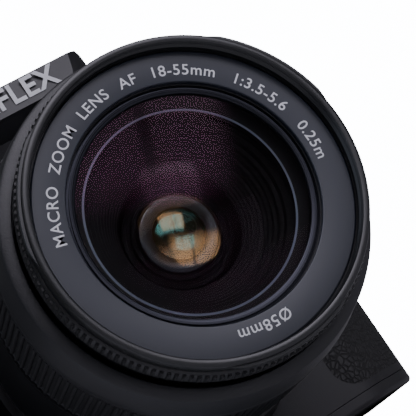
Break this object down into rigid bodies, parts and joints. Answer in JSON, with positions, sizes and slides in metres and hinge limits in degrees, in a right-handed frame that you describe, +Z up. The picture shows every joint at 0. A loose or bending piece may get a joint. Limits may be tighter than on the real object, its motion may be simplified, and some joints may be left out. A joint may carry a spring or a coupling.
{
  "type": "dslr camera",
  "caption": "Single-lens reflex camera with a mounted zoom lens; zoom and focus rings, mirror, shutter, dials, buttons, pop-up flash and doors all move.",
  "frame": {"origin": "mouth of the tripod socket in the base, below the optical axis", "axes": "+Z up, the lens looks along -Y, +X to the right of someone facing the lens"},
  "size_m": [0.1362, 0.139, 0.0997],
  "materials": {
    "black_plastic": "fine moulded texture",
    "grip_rubber": "leather-grained rubber",
    "soft_rubber": "smooth matte rubber",
    "button_plastic": "satin",
    "steel": "turned and brushed",
    "optical_glass": "coated",
    "window": "polished acrylic",
    "lcd": "dark panel",
    "silicon": "iridescent sensor",
    "board": "solder mask",
    "battery_case": "moulded",
    "mirror_glass": "silvered",
    "blackened_metal": "matt black",
    "lens_plastic": "satin moulded"
  },
  "bodies": {
    "camera": {"front_casing": "black_plastic", "rear_casing": "black_plastic", "top_cover": "black_plastic", "bottom_cover": "black_plastic", "grip_cover": "grip_rubber", "side_panel": "grip_rubber", "thumb_rest": "grip_rubber", "mirror_box": "black_plastic", "focusing_screen": "optical_glass", "pentamirror": "mirror_glass", "eyepiece_lens": "optical_glass", "eyecup": "soft_rubber", "shutter_frame": "black_plastic", "image_sensor": "silicon", "main_board": "board", "battery": "battery_case", "memory_card": "battery_case", "mount_ring": "steel", "mount_screws": "steel", "base_screws": "steel", "hot_shoe": "steel", "lcd_window": "window", "lcd_panel": "lcd", "tripod_socket": "steel", "strap_lugs": "steel", "connector_ports": "board", "lens_bayonet": "lens_plastic", "rear_barrel": "lens_plastic", "rear_element": "optical_glass"},
    "main_mirror": {"main_mirror": "mirror_glass"},
    "sub_mirror": {"sub_mirror": "mirror_glass"},
    "shutter_curtain": {"shutter_curtain": "blackened_metal"},
    "shutter_button": {"shutter_button": "button_plastic"},
    "main_dial": {"main_dial": "button_plastic"},
    "mode_dial": {"mode_dial": "button_plastic"},
    "power_switch": {"power_switch": "button_plastic"},
    "flash_button": {"flash_button": "button_plastic"},
    "flash": {"flash_head": "black_plastic", "flash_window": "window"},
    "lens_release_button": {"lens_release_button": "button_plastic"},
    "lens_lock_pin": {"lens_lock_pin": "steel"},
    "battery_door": {"battery_door": "black_plastic"},
    "port_cover": {"port_cover": "soft_rubber"},
    "diopter_dial": {"diopter_dial": "button_plastic"},
    "menu_button": {"menu_button": "button_plastic"},
    "playback_button": {"playback_button": "button_plastic"},
    "delete_button": {"delete_button": "button_plastic"},
    "set_button": {"set_button": "button_plastic"},
    "cross_pad": {"cross_pad": "button_plastic"},
    "focus_mode_switch": {"focus_mode_switch": "button_plastic"},
    "stabilizer_switch": {"stabilizer_switch": "button_plastic"},
    "zoom_ring": {"zoom_ring": "lens_plastic"},
    "inner_barrel": {"inner_barrel": "lens_plastic", "middle_element": "optical_glass", "aperture_unit": "lens_plastic"},
    "focus_guide": {"focus_guide": "lens_plastic"},
    "focus_ring": {"focus_ring": "lens_plastic", "filter_ring": "lens_plastic", "name_ring": "lens_plastic", "front_element": "optical_glass"}
  },
  "joints": [
    {"name": "mirror_lift", "type": "hinge", "parent": "camera", "child": "main_mirror", "pos_m": [0, -0.0075, 0.0569], "axis": [-1, 0, 0], "range_deg": [0, 45], "stiffness_Nm_per_rad": 0.01, "springref_deg": -17.19},
    {"name": "sub_mirror_fold", "type": "hinge", "parent": "main_mirror", "child": "sub_mirror", "pos_m": [0, -0.0169, 0.04509], "axis": [-1, 0, 0], "range_deg": [0, 90]},
    {"name": "shutter_travel", "type": "slide", "parent": "camera", "child": "shutter_curtain", "axis": [0, 0, -1], "range_m": [0, 0.0175], "stiffness_N_per_m": 15, "springref_m": -0.004},
    {"name": "shutter_press", "type": "slide", "parent": "camera", "child": "shutter_button", "axis": [0, 0.2499, -0.9683], "range_m": [0, 0.0006], "stiffness_N_per_m": 1200, "springref_m": -0.0003},
    {"name": "main_dial_spin", "type": "hinge", "parent": "camera", "child": "main_dial", "pos_m": [-0.056, -0.02, 0.06817], "axis": [1, 0, 0], "continuous": true},
    {"name": "mode_dial_spin", "type": "hinge", "parent": "camera", "child": "mode_dial", "pos_m": [-0.041, 0.001, 0.074], "axis": [0, 0, 1], "continuous": true},
    {"name": "power_switch_turn", "type": "hinge", "parent": "camera", "child": "power_switch", "pos_m": [-0.056, 0.005, 0.074], "axis": [0, 0, 1], "range_deg": [0, 50]},
    {"name": "flash_button_press", "type": "slide", "parent": "camera", "child": "flash_button", "axis": [-1, 0, 0], "range_m": [0, 0.0005], "stiffness_N_per_m": 1200, "springref_m": -0.0003},
    {"name": "flash_lift", "type": "hinge", "parent": "camera", "child": "flash", "pos_m": [0, -0.008, 0.0954], "axis": [-1, 0, 0], "range_deg": [0, 65]},
    {"name": "lens_release_press", "type": "slide", "parent": "camera", "child": "lens_release_button", "axis": [0, 1, 0], "range_m": [0, 0.002], "stiffness_N_per_m": 800, "springref_m": -0.001},
    {"name": "lock_pin_retract", "type": "slide", "parent": "camera", "child": "lens_lock_pin", "axis": [0, 1, 0], "range_m": [0, 0.0018]},
    {"name": "battery_door_open", "type": "hinge", "parent": "camera", "child": "battery_door", "pos_m": [-0.052, -0.003, 0.001], "axis": [1, 0, 0], "range_deg": [0, 90]},
    {"name": "port_cover_open", "type": "hinge", "parent": "camera", "child": "port_cover", "pos_m": [0.05816, 0.0055, 0.034], "axis": [0.054, 0, -0.9985], "range_deg": [0, 100]},
    {"name": "diopter_turn", "type": "hinge", "parent": "camera", "child": "diopter_dial", "pos_m": [-0.027, 0.005, 0.0776], "axis": [-1, 0, 0], "range_deg": [-120, 120]},
    {"name": "menu_press", "type": "slide", "parent": "camera", "child": "menu_button", "axis": [0, -1, 0], "range_m": [0, 0.0005], "stiffness_N_per_m": 1200, "springref_m": -0.0003},
    {"name": "playback_press", "type": "slide", "parent": "camera", "child": "playback_button", "axis": [0, -1, 0], "range_m": [0, 0.0005], "stiffness_N_per_m": 1200, "springref_m": -0.0003},
    {"name": "delete_press", "type": "slide", "parent": "camera", "child": "delete_button", "axis": [0, -1, 0], "range_m": [0, 0.0005], "stiffness_N_per_m": 1200, "springref_m": -0.0003},
    {"name": "set_press", "type": "slide", "parent": "cross_pad", "child": "set_button", "axis": [0, -1, 0], "range_m": [0, 0.0005], "stiffness_N_per_m": 1200, "springref_m": -0.0003},
    {"name": "cross_pad_tilt", "type": "hinge", "parent": "camera", "child": "cross_pad", "pos_m": [-0.044, 0.019, 0.033], "axis": [1, 0, 0], "range_deg": [-3, 3], "stiffness_Nm_per_rad": 0.06},
    {"name": "focus_mode_slide", "type": "slide", "parent": "camera", "child": "focus_mode_switch", "axis": [0, -1, 0], "range_m": [0, 0.003]},
    {"name": "stabilizer_slide", "type": "slide", "parent": "camera", "child": "stabilizer_switch", "axis": [0, -1, 0], "range_m": [0, 0.003]},
    {"name": "zoom_turn", "type": "hinge", "parent": "camera", "child": "zoom_ring", "pos_m": [0, -0.038, 0.0425], "axis": [0, -1, 0], "range_deg": [0, 70]},
    {"name": "barrel_extend", "type": "slide", "parent": "camera", "child": "inner_barrel", "axis": [0, -1, 0], "range_m": [0, 0.02]},
    {"name": "focus_extend", "type": "slide", "parent": "inner_barrel", "child": "focus_guide", "axis": [0, -1, 0], "range_m": [0, 0.004]},
    {"name": "focus_turn", "type": "hinge", "parent": "focus_guide", "child": "focus_ring", "pos_m": [0, -0.038, 0.0425], "axis": [0, -1, 0], "range_deg": [0, 100]}
  ],
  "couplings": [
    {"joint": "sub_mirror_fold", "follows": "mirror_lift", "ratio": 2},
    {"joint": "lock_pin_retract", "follows": "lens_release_press", "ratio": 0.9},
    {"joint": "barrel_extend", "follows": "zoom_turn", "m_per_rad": 0.01637},
    {"joint": "focus_extend", "follows": "focus_turn", "m_per_rad": 0.0022918}
  ]
}
